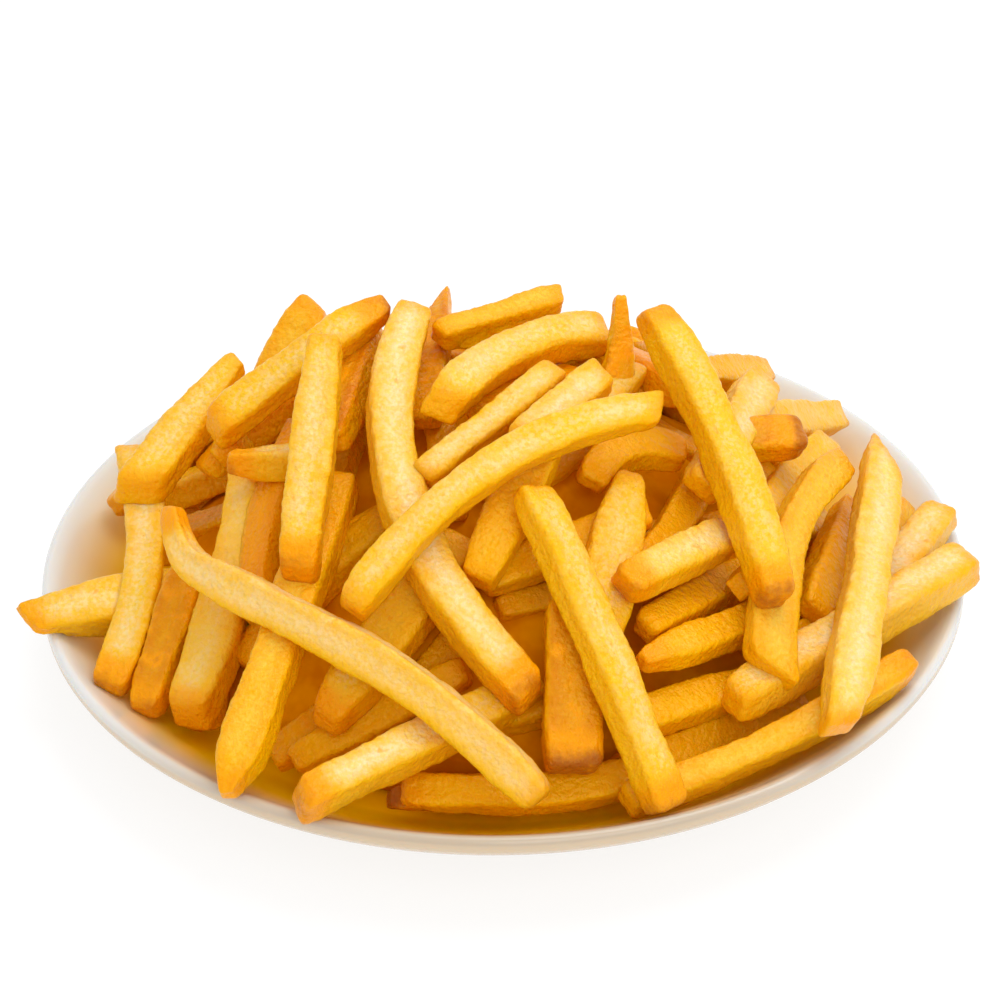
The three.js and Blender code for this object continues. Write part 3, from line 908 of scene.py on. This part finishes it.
@dataclass(frozen=True)
class FryFinish:
    """The skin of fried potato: a mealy pale face, golden edges and browned ends.

    golden is painted shade on the skin that faces away from above, deep_shade painted shade on
    the skin deep and low in the heap, crisp and burnt the browned ends. patches is how much of
    the face is browned in spots. Shares say how strongly a pattern or a colour counts, and sizes
    of patterns are in metres.
    """

    name: str
    face: tuple[float, float, float]
    deeper: tuple[float, float, float]
    edge: tuple[float, float, float]
    # painted shade on skin turned away from above
    golden: tuple[float, float, float] = (0.94, 0.48, 0.0)
    # painted shade deep and low in the heap
    deep_shade: tuple[float, float, float] = (0.92, 0.44, 0.0)
    crisp: tuple[float, float, float] = (0.90, 0.34, 0.0)
    burnt: tuple[float, float, float] = (0.42, 0.11, 0.008)
    patches: float = 0.0
    meal_size: float = 0.001
    meal_share: float = 0.45
    cloud_size: float = 0.006
    cloud_share: float = 0.3
    toast_share: float = 0.5
    shade_deepening_share: float = 0.9
    side_shade_share: float = 0.95
    deep_shade_share: float = 0.65
    ragged_size: float = 0.003
    ragged_share: float = 0.6
    patch_size: float = 0.005
    speck_size: float = 0.0028
    speck_share: float = 0.6
    blister_size: float = 0.0012
    blister_depth: float = 0.0006
    smoothest: float = 0.22
    roughest: float = 0.5

    def material(self) -> bpy.types.Material:
        """Builds the finish.

        Returns:
            A material that reads the attributes of a cut fry.
        """
        tree = NodeTree(self.name)
        grain = tree.attribute("grain").outputs["Vector"]
        colour = self._colour(tree, grain)
        tree.join(colour, tree.shader.inputs["Base Color"])
        self._surface(tree, grain)
        return tree.material

    def _colour(self, tree: NodeTree, grain: bpy.types.NodeSocket) -> bpy.types.NodeSocket:
        """Mixes the colour of the skin, with painted shade on skin turned from above and deep in the
        heap.

        Args:
            tree: The nodes.
            grain: The fry's own coordinates.

        Returns:
            The colour.
        """
        meal = tree.ramp(tree.noise(grain, self.meal_size, 3), 0.38, 0.62)
        cloud = tree.ramp(tree.noise(grain, self.cloud_size, 3, (0.5, 1, 1)), 0.35, 0.7)
        toast = tree.attribute("toast").outputs["Fac"]
        deep = tree.attribute("deep").outputs["Fac"]
        deeper = tree.attribute("crisp").outputs["Fac"]
        # crisp, cloud, toast and meal vary the tone; the deep term adds painted shade deep and low in
        # the heap
        for pattern, share in (
            (cloud, self.cloud_share),
            (toast, self.toast_share),
            (meal, self.meal_share),
            (deep, self.shade_deepening_share),
        ):
            deeper = tree.math("ADD", deeper, tree.math("MULTIPLY", pattern, share))
        colour = tree.blend(deeper, self.face, self.deeper)
        ragged = tree.ramp(tree.noise(grain, self.ragged_size, 4), 0.2, 0.8)
        ragged = tree.math("MULTIPLY", ragged, self.ragged_share)
        ragged = tree.math("ADD", ragged, 1 - self.ragged_share)
        ragged = tree.math("MULTIPLY", ragged, tree.attribute("edge").outputs["Fac"])
        colour = tree.blend(ragged, colour, self.edge)
        # painted shade: skin turned from above goes golden
        under = tree.attribute("under").outputs["Fac"]
        under = tree.math("MULTIPLY", under, self.side_shade_share)
        colour = tree.blend(under, colour, self.golden)
        # painted shade: skin deep and low in the heap goes darker
        deep_shade = tree.math("MULTIPLY", deep, self.deep_shade_share)
        colour = tree.blend(deep_shade, colour, self.deep_shade)
        return self._browned(tree, grain, colour)

    def _browned(
        self, tree: NodeTree, grain: bpy.types.NodeSocket, colour: bpy.types.NodeSocket
    ) -> bpy.types.NodeSocket:
        """Browns the ends, and spots of the face where the finish has them.

        Args:
            tree: The nodes.
            grain: The fry's own coordinates.
            colour: The colour so far.

        Returns:
            The colour.
        """
        crisp = tree.attribute("crisp").outputs["Fac"]
        patch = tree.noise(grain, self.patch_size, 4)
        speck = tree.ramp(tree.noise(grain, self.speck_size, 2), 0.66, 0.78)
        colour = tree.blend(tree.math("MULTIPLY", speck, self.speck_share), colour, self.crisp)
        if self.patches:
            spots = tree.math("MULTIPLY", tree.ramp(patch, 0.42, 0.75), self.patches)
            crisp = tree.math("MAXIMUM", crisp, spots)
        burn = tree.math("MULTIPLY", crisp, tree.math("ADD", patch, 0.45))
        colour = tree.blend(tree.ramp(burn, 0.0, 0.6), colour, self.crisp)
        return tree.blend(tree.ramp(burn, 0.65, 1.1), colour, self.burnt)

    def _surface(self, tree: NodeTree, grain: bpy.types.NodeSocket) -> None:
        """Sets the gloss, the glow through the flesh and the fine blisters.

        Args:
            tree: The nodes.
            grain: The fry's own coordinates.
        """
        tree.set_shader({
            "Subsurface Weight": 0.3,
            "Subsurface Radius": (1.0, 0.5, 0.06),
            "Subsurface Scale": 0.004,
            "Specular IOR Level": 0.5,
            "IOR": 1.42,
            "Specular Tint": (1.0, 0.72, 0.14, 1),
            "Coat Weight": 0.15,
            "Coat Roughness": 0.2,
            "Coat IOR": 1.46,
        })
        rough = tree.add("MapRange")
        rough.inputs["To Min"].default_value = self.smoothest
        rough.inputs["To Max"].default_value = self.roughest
        tree.join(tree.noise(grain, self.ragged_size, 3), rough.inputs["Value"])
        tree.join(rough.outputs["Result"], tree.shader.inputs["Roughness"])
        bump = tree.add("Bump")
        bump.inputs["Strength"].default_value = 1.0
        bump.inputs["Distance"].default_value = self.blister_depth
        tree.join(tree.noise(grain, self.blister_size, 2), bump.inputs["Height"])
        tree.join(bump.outputs["Normal"], tree.shader.inputs["Normal"])
        tree.join(bump.outputs["Normal"], tree.shader.inputs["Coat Normal"])


@dataclass(frozen=True)
class PorcelainFinish:
    """A clear glaze over white porcelain.

    shadowed tints what faces down and shaded the diner's side, from shade_start to
    shade_full in front of the middle. A painted reflection and shadow of the fries, golden,
    lies from the radius reflection_edge in to reflection_full.
    """

    name: str = "glazed_porcelain"
    colour: tuple[float, float, float] = (0.70, 0.70, 0.685)
    shadowed: tuple[float, float, float] = (0.60, 0.48, 0.34)
    shaded: tuple[float, float, float] = (0.50, 0.41, 0.31)
    # painted reflection and shadow of the golden fries on the well
    fry_reflection_and_shade: tuple[float, float, float] = (1.0, 0.58, 0.0)
    reflection_edge: float = 0.0995
    reflection_full: float = 0.083
    shade_start: float = 0.045
    shade_full: float = 0.098
    cloud_size: float = 0.03

    def material(self) -> bpy.types.Material:
        """Builds the finish.

        Returns:
            A glossy white material with a faint cloudiness, warmer in the shade, and a painted
            reflection and shadow of the fries.
        """
        tree = NodeTree(self.name)
        place = tree.add("TexCoord")
        axes = tree.add("SeparateXYZ")
        tree.join(place.outputs["Object"], axes.inputs[0])
        facing = tree.add("SeparateXYZ")
        tree.join(place.outputs["Normal"], facing.inputs[0])
        cloud = tree.ramp(tree.noise(place.outputs["Object"], self.cloud_size, 2), 0.3, 0.7)
        warmer = tuple(channel * 0.97 for channel in self.colour)
        glaze = tree.blend(cloud, self.colour, warmer)
        forward = tree.math("MULTIPLY", axes.outputs[1], -1.0)
        near = tree.ramp(forward, self.shade_start, self.shade_full)
        glaze = tree.blend(near, glaze, self.shaded)
        upper = tree.ramp(facing.outputs[2], -0.1, 0.35)
        glaze = tree.blend(upper, self.shadowed, glaze)
        # painted reflection and shadow of the fries, on faces that look up
        reflection_and_shade = tree.math("MULTIPLY", self._fry_reflection_and_shade_mask(tree, axes), upper)
        tree.join(tree.blend(reflection_and_shade, glaze, self.fry_reflection_and_shade), tree.shader.inputs["Base Color"])
        tree.set_shader({
            "Roughness": 0.22,
            "Coat Weight": 0.3,
            "Coat Roughness": 0.06,
            "Subsurface Weight": 0.35,
            "Subsurface Radius": (1.0, 0.7, 0.4),
            "Subsurface Scale": 0.012,
        })
        return tree.material

    def _fry_reflection_and_shade_mask(self, tree: NodeTree, axes: bpy.types.Node) -> bpy.types.NodeSocket:
        """Painted reflection and shadow of the golden fries on the well, strongest under the heap.

        Args:
            tree: The nodes.
            axes: The place, split into its axes.

        Returns:
            0 on the bare glaze to 1 under the heap.
        """
        across = tree.math("MULTIPLY", axes.outputs[0], axes.outputs[0])
        away = tree.math("MULTIPLY", axes.outputs[1], axes.outputs[1])
        radius = tree.math("POWER", tree.math("ADD", across, away), 0.5)
        return tree.ramp(tree.math("MULTIPLY", radius, -1.0), -self.reflection_edge, -self.reflection_full)


@dataclass
class Plate:
    """The round plate: one profile spun about its middle.

    The underside keeps inset mm from the foot ring and from the rim.
    """

    shape: PlateShape = field(default_factory=PlateShape)
    finish: PorcelainFinish = field(default_factory=PorcelainFinish)
    turns: int = 192
    wall_steps: int = 18
    lip_steps: int = 5
    inset: float = 2.0

    def profile(self) -> list[tuple[float, float]]:
        """The outline of half the plate.

        Returns:
            Radius and height of each point, from the middle on top round to the middle below.
        """
        shape = self.shape
        wall_end = shape.radius - shape.lip_width
        points = [(0.0, shape.well_top)]
        for i in range(self.wall_steps + 1):
            radius = shape.well_radius + (wall_end - shape.well_radius) * i / self.wall_steps
            points.append((radius, shape.surface(radius)))
        points += self._lip()
        under_in, under_out = shape.foot_radius + self.inset, shape.radius - self.inset
        for i in range(self.wall_steps, -1, -1):
            radius = under_in + (under_out - under_in) * i / self.wall_steps
            points.append((radius, shape.surface(radius) - shape.porcelain))
        inner_foot = shape.foot_radius - shape.foot_width
        points.append((shape.foot_radius + shape.foot_flare, shape.foot_rise))
        points += [(shape.foot_radius, 0.0), (inner_foot, 0.0)]
        points += [(inner_foot - 1, shape.foot_recess), (0.0, shape.foot_recess)]
        return points

    def _lip(self) -> list[tuple[float, float]]:
        """The rounded rim.

        Returns:
            Its points, from the inside over its top and down its upright face.
        """
        shape = self.shape
        bend = shape.lip_round
        points = []
        for i in range(self.lip_steps + 1):
            angle = math.radians(shape.lip_turn - shape.lip_turn * i / self.lip_steps)
            radius = shape.radius - bend + bend * math.cos(angle)
            points.append((radius, shape.lip_top - bend + bend * math.sin(angle)))
        under = shape.lip_top - shape.lip_depth
        return points + [(shape.radius, under + 1), (shape.radius - 0.4, under + 0.2)]

    def build(self) -> bpy.types.Object:
        """Models and glazes the plate.

        Returns:
            The plate.
        """
        outline = [(radius * MM, height * MM) for radius, height in self.profile()]
        bpy.ops.object.select_all(action="DESELECT")
        bpy.ops.mesh.primitive_plane_add(size=MM, location=(0, 0, 0))
        plate = bpy.context.active_object
        plate.name = "plate_glazed"
        bpy.ops.object.mode_set(mode="EDIT")
        bpy.ops.mesh.merge(type="CENTER")
        bpy.ops.transform.translate(value=(outline[0][0], 0, outline[0][1]))
        for (r0, z0), (r1, z1) in zip(outline, outline[1:]):
            step = {"value": (r1 - r0, 0, z1 - z0)}
            bpy.ops.mesh.extrude_region_move(TRANSFORM_OT_translate=step)
        bpy.ops.mesh.select_all(action="SELECT")
        bpy.ops.mesh.spin(steps=self.turns, angle=2 * math.pi, center=(0, 0, 0), axis=(0, 0, 1))
        bpy.ops.mesh.select_all(action="SELECT")
        bpy.ops.mesh.remove_doubles(threshold=0.01 * MM)
        bpy.ops.mesh.normals_make_consistent(inside=False)
        bpy.ops.object.mode_set(mode="OBJECT")
        bpy.ops.object.shade_smooth_by_angle(angle=math.radians(40))
        plate.data.materials.clear()
        plate.data.materials.append(self.finish.material())
        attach(plate, "root")
        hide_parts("plate")
        return plate


SKINS = {
    Tone.LIGHT: FryFinish("fried_light", (0.90, 0.72, 0.42), (0.89, 0.61, 0.11), (0.90, 0.47, 0.0)),
    Tone.PALE: FryFinish("fried_pale", (0.90, 0.71, 0.39), (0.89, 0.54, 0.025), (0.90, 0.45, 0.0)),
    Tone.GOLDEN: FryFinish(
        "fried_golden", (0.92, 0.57, 0.06), (0.90, 0.43, 0.0), (0.88, 0.36, 0.0)
    ),
    Tone.BROWNED: FryFinish(
        "fried_browned", (0.80, 0.37, 0.012), (0.72, 0.25, 0.0), (0.64, 0.17, 0.0), patches=0.7
    ),
    # painted shade: a darker, redder copy of the golden skin for the fries that lie deeper
    Tone.UNDER: FryFinish(
        "deep_fries_painted_shade", (0.90, 0.38, 0.004), (0.84, 0.27, 0.0), (0.78, 0.20, 0.0), patches=0.3
    ),
}


@dataclass
class FryHeap:
    """All the fries: those that show, the rule-laid ones behind, and those that lie deeper.

    Waves and blisters, in metres, make the skin uneven. Fries that lie deeper are lowered in
    settle_steps of settle_step mm until their lines are room mm from all above. The draws
    shift a rule-laid fry by place_draw of the arc and turn_draw degrees, change its length
    by length_draw and bend it by up to bow_draw mm. Its ends keep clearance mm over the plate.
    """

    shape: HeapShape = field(default_factory=HeapShape)
    plate: PlateShape = field(default_factory=PlateShape)
    wave_size: float = 0.013
    wave_depth: float = 0.0014
    blister_size: float = 0.0017
    blister_depth: float = 0.00055
    room: float = 6.4
    settle_step: float = 1.5
    settle_steps: int = 9
    place_draw: float = 0.05
    turn_draw: float = 8
    length_draw: float = 0.12
    bow_draw: float = 2.5
    clearance: float = 3.8

    def laid_rows(self, rows: tuple[Row, ...], arc: tuple[float, float], draws: int) -> list[Fry]:
        """Fries laid by rule along the slope of the heap.

        Args:
            rows: The rows.
            arc: The stretch round the plate that they fill, in degrees from +X.
            draws: Number of the first random draw.

        Returns:
            The fries.
        """
        fries = []
        for row in rows:
            for i in range(row.count):
                draw = draws + len(fries) + 1
                share = (i + 0.5) / row.count + self.place_draw * scatter(draw, 1)
                around = math.radians(arc[0] + (arc[1] - arc[0]) * share)
                turn = (row.turn if i % 2 else -row.turn) + self.turn_draw * scatter(draw, 2)
                heading = around + math.radians(row.heading + turn)
                length = row.length * (1 + self.length_draw * scatter(draw, 3))
                fries.append(self._laid(around, row, heading, length, scatter(draw, 4)))
        return fries

    def _laid(self, around: float, row: Row, heading: float, length: float, lean: float) -> Fry:
        """One fry along the slope of the heap, clear of the plate.

        Args:
            around: Its place round the plate, in radians.
            row: The row it is in.
            heading: The way it points, in radians.
            length: Its length.
            lean: How far it bends to one side, from -1 to 1.

        Returns:
            The fry.
        """
        x, y = row.radius * math.cos(around), row.radius * math.sin(around)
        along = (math.cos(heading), math.sin(heading))
        normal = self.shape.normal(x, y)
        slope = -(normal.x * along[0] + normal.y * along[1]) / normal.z
        half = length / 2 / math.hypot(1, slope)
        ends = []
        for reach in (-half, half):
            px, py = x + along[0] * reach, y + along[1] * reach
            lowest = self.plate.surface(math.hypot(px, py)) + self.clearance
            ends.append((px, py, max(self.shape.height(x, y) - row.sink + slope * reach, lowest)))
        return Fry(ends[0], ends[1], bow=self.bow_draw * lean, arch=1)

    def behind(self) -> list[Fry]:
        """The fries on the far side, in shades and cuts that vary.

        Returns:
            The fries, laid by rule.
        """
        cuts = (BLUNT, ROUNDED, TOASTED, TAPERED)
        tones = (Tone.PALE, Tone.GOLDEN, Tone.PALE, Tone.BROWNED, Tone.GOLDEN)
        fries = []
        for i, fry in enumerate(self.laid_rows(BACK_ROWS, BACK_ARC, 0)):
            head, tail = cuts[i % 4], cuts[(i // 4) % 4]
            fries.append(replace(fry, tone=tones[i % 5], head=head, tail=tail))
        return fries

    def build(self) -> list[bpy.types.Object]:
        """Cuts, lays and dresses every fry.

        Returns:
            One joined piece for each place and shade.
        """
        shown = [fry for rows in SHOWN_FRIES for fry in rows.values()]
        loose = self.laid_rows(UNDER_ROWS, UNDER_ARC, 100)
        loose += self.laid_rows(UNDER_BACK_ROWS, UNDER_BACK_ARC, 200)
        under = self._settled(loose, shown)
        pieces = self._batch("fries", shown, FryBlank(), 0)
        pieces += self._batch("fries_behind", self.behind(), FryBlank(rings=48, face_cuts=3), 200)
        coarse = FryBlank(rings=20, corner_steps=2, face_cuts=1)
        return pieces + self._batch("fries_below", under, coarse, 100)

    def _settled(self, fries: list[Fry], above: list[Fry]) -> list[Fry]:
        """Lowers deeper fries until they are clear of those above, or leaves them out.

        Args:
            fries: The fries that lie deeper.
            above: The fries they must not touch.

        Returns:
            Those that found room.
        """
        share = np.linspace(0.05, 0.95, 10)
        lines = np.vstack([FryLine(fry, self.shape).place(share) for fry in above])
        settled = []
        for fry in fries:
            for step in range(self.settle_steps):
                drop = Vector((0, 0, step * self.settle_step))
                low = replace(
                    fry, start=tuple(Vector(fry.start) - drop), end=tuple(Vector(fry.end) - drop)
                )
                line = FryLine(low, self.shape).place(share)
                apart = np.linalg.norm(lines[:, None] - line[None], axis=2).min()
                if apart > self.room:
                    # the deeper fries take the skin painted darker as shade
                    settled.append(replace(low, tone=Tone.UNDER))
                    break
        return settled

    def _batch(
        self, name: str, fries: list[Fry], size: FryBlank, seed: int
    ) -> list[bpy.types.Object]:
        """Cuts a set of fries from one blank and joins those of each shade.

        Args:
            name: First part of the names of the pieces.
            fries: The fries.
            size: The blank that they are cut from.
            seed: Number of the first fry, for its grain.

        Returns:
            One piece for each shade that is there.
        """
        blank = size.model(f"{name}_blank")
        cutter = FryCutter(blank, size, self.shape, self.plate)
        pieces = []
        for tone, skin in SKINS.items():
            cut = [
                cutter.cut(f"{name}_{seed + i}", fry, seed + i)
                for i, fry in enumerate(fries)
                if fry.tone is tone
            ]
            if cut:
                pieces.append(self._join(f"{name}_{tone.value}", cut, skin))
        bpy.data.objects.remove(blank)
        return pieces

    def _join(
        self, name: str, fries: list[bpy.types.Object], skin: FryFinish
    ) -> bpy.types.Object:
        """Joins fries of one shade into a piece, roughens and dresses it.

        Args:
            name: Name of the piece.
            fries: The fries.
            skin: Their finish.

        Returns:
            The piece.
        """
        bpy.ops.object.select_all(action="DESELECT")
        for fry in fries:
            fry.select_set(True)
        bpy.context.view_layer.objects.active = fries[0]
        bpy.ops.object.join()
        piece = bpy.context.active_object
        piece.name = name
        piece.data.name = name
        bpy.ops.object.shade_smooth()
        self._roughen(piece, "waves", self.wave_size, self.wave_depth)
        self._roughen(piece, "blisters", self.blister_size, self.blister_depth)
        piece.data.materials.clear()
        known = bpy.data.materials.get(skin.name)
        piece.data.materials.append(known or skin.material())
        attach(piece, "root")
        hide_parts("fries")
        return piece

    @staticmethod
    def _roughen(piece: bpy.types.Object, name: str, size: float, depth: float) -> None:
        """Pushes the skin in and out by a cloudy pattern.

        Args:
            piece: The piece.
            name: Name of the pattern.
            size: Size of its lumps.
            depth: How far from the lowest to the highest.
        """
        texture = bpy.data.textures.new(name, "CLOUDS")
        texture.noise_scale = size
        texture.noise_depth = 2
        bpy.context.view_layer.objects.active = piece
        displace = piece.modifiers.new(name, "DISPLACE")
        displace.texture = texture
        displace.texture_coords = "LOCAL"
        displace.strength = depth
        displace.mid_level = 0.5
        bpy.ops.object.modifier_apply(modifier=name)


@dataclass(frozen=True)
class CoreShadeFinish:
    """Painted shade: the dark golden brown of the heap's shaded middle, softly mottled."""

    # painted shade colours of the deep gaps between the fries
    light: tuple[float, float, float] = (0.82, 0.32, 0.0)
    dark: tuple[float, float, float] = (0.66, 0.20, 0.0)
    mottle_size: float = 0.008

    def material(self) -> bpy.types.Material:
        """Builds the finish.

        Returns:
            A dull material.
        """
        tree = NodeTree("core_painted_shade")
        place = tree.add("TexCoord").outputs["Object"]
        cloud = tree.ramp(tree.noise(place, self.mottle_size, 3), 0.35, 0.65)
        colour = tree.blend(cloud, self.light, self.dark)
        tree.join(colour, tree.shader.inputs["Base Color"])
        tree.set_shader({"Roughness": 0.8, "Specular IOR Level": 0.0})
        return tree.material


@dataclass
class HeapCore:
    """The middle of the heap that no light reaches: a mound under the fries painted in the dark
    golden brown of shade, in mm.
    """

    shape: HeapShape = field(default_factory=HeapShape)
    plate: PlateShape = field(default_factory=PlateShape)
    depth: float = 21.5
    reach_x: float = 72
    reach_y: float = 68
    gap: float = 0.6
    finish: CoreShadeFinish = field(default_factory=CoreShadeFinish)

    def build(self) -> bpy.types.Object:
        """Models and dresses the core.

        Returns:
            The core.
        """
        bpy.ops.object.select_all(action="DESELECT")
        bpy.ops.mesh.primitive_uv_sphere_add(segments=72, ring_count=48, radius=1)
        core = bpy.context.active_object
        core.name = "fries_core"
        for vertex in core.data.vertices:
            x, y = vertex.co.x * self.reach_x, vertex.co.y * self.reach_y
            low = self.plate.surface(math.hypot(x, y)) + self.gap
            high = max(self.shape.height(x, y) - self.depth, low)
            share = 1.0 if vertex.co.z > 1e-4 else 0.0
            vertex.co = Vector((x, y, low + (high - low) * share)) * MM
        bpy.ops.object.shade_smooth()
        core.data.materials.clear()
        core.data.materials.append(self.finish.material())
        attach(core, "root")
        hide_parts("fries")
        return core


@dataclass(frozen=True)
class Softbox:
    """A square lamp that faces the plate: its place and side in metres, its power in watts."""

    name: str
    place: Point
    side: float
    power: float

    def hang(self, aim: Vector) -> None:
        """Hangs the lamp and turns it to a place.

        Args:
            aim: The place it faces.
        """
        bpy.ops.object.light_add(type="AREA", location=self.place)
        lamp = bpy.context.active_object
        lamp.name = self.name
        lamp.data.size = self.side
        lamp.data.energy = self.power
        turned = (aim - Vector(self.place)).to_track_quat("-Z", "Y")
        lamp.rotation_euler = turned.to_euler()


@dataclass
class Studio:
    """A white table, soft light from above and the diner's side, and the camera.

    target and distance are in mm and angles in degrees. The camera looks level along +Y and
    down by elevation. focal_pixels is its focal length for a picture image_pixels wide.
    """

    target: Point = (-0.317, 21.763, 22.0)
    distance: float = 760
    elevation: float = 32.849
    roll: float = -1.112
    focal_pixels: float = 3402.8
    image_pixels: float = 1000
    sensor: float = 36
    lamps: tuple[Softbox, ...] = (
        Softbox("key", (0.2, 0.14, 0.8), side=0.6, power=3.0),
        Softbox("fill", (0.25, -0.8, 0.6), side=0.7, power=2.2),
    )
    lit_height: float = 0.04
    sky: float = 0.77
    table_grey: float = 0.28
    table_glow: float = 0.765

    def build(self) -> None:
        """Sets up the table, the lights and the camera."""
        self._table()
        self._sky()
        for lamp in self.lamps:
            lamp.hang(Vector((0, 0, self.lit_height)))
        self._camera()

    def _table(self) -> None:
        """Lays a white table top that the plate stands on."""
        bpy.ops.object.select_all(action="DESELECT")
        bpy.ops.mesh.primitive_plane_add(size=4, location=(0, 0, 0))
        table = bpy.context.active_object
        table.name = "table"
        tree = NodeTree("white_table")
        tree.set_shader({
            "Base Color": (self.table_grey,) * 3 + (1,),
            "Emission Color": (1, 1, 1, 1),
            "Emission Strength": self.table_glow,
            "Roughness": 0.9,
            "Specular IOR Level": 0.0,
        })
        table.data.materials.append(tree.material)

    def _sky(self) -> None:
        """Surrounds everything with even white light."""
        world = bpy.data.worlds.new("studio")
        world.use_nodes = True
        background = world.node_tree.nodes["Background"]
        background.inputs["Color"].default_value = (1, 1, 1, 1)
        background.inputs["Strength"].default_value = self.sky
        bpy.context.scene.world = world

    def _camera(self) -> None:
        """Sets the camera at the diner's side, looking down on the plate."""
        pitch, roll = math.radians(self.elevation), math.radians(self.roll)
        forward = Vector((0, math.cos(pitch), -math.sin(pitch)))
        level = Vector((1, 0, 0))
        upright = level.cross(forward)
        right = math.cos(roll) * level + math.sin(roll) * upright
        up = -math.sin(roll) * level + math.cos(roll) * upright
        place = (Vector(self.target) - self.distance * forward) * MM
        bpy.ops.object.camera_add()
        camera = bpy.context.active_object
        camera.name = "camera"
        turn = Matrix((right, up, -forward)).transposed().to_4x4()
        camera.matrix_world = Matrix.Translation(place) @ turn
        camera.data.sensor_width = self.sensor
        camera.data.lens = self.sensor * self.focal_pixels / self.image_pixels
        camera.data.clip_start = 0.01
        bpy.context.scene.camera = camera


def main() -> None:
    """Builds the plate, the heap of fries and the studio."""
    logging.basicConfig(level=logging.INFO, format="%(name)s: %(message)s")
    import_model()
    scene = bpy.context.scene
    scene.view_settings.view_transform = "Standard"
    plate = Plate().build()
    LOG.info("%s: %d faces", plate.name, len(plate.data.polygons))
    core = HeapCore().build()
    LOG.info("%s: %d faces", core.name, len(core.data.polygons))
    for piece in FryHeap().build():
        LOG.info("%s: %d faces", piece.name, len(piece.data.polygons))
    Studio().build()


if __name__ == "__main__":
    main()
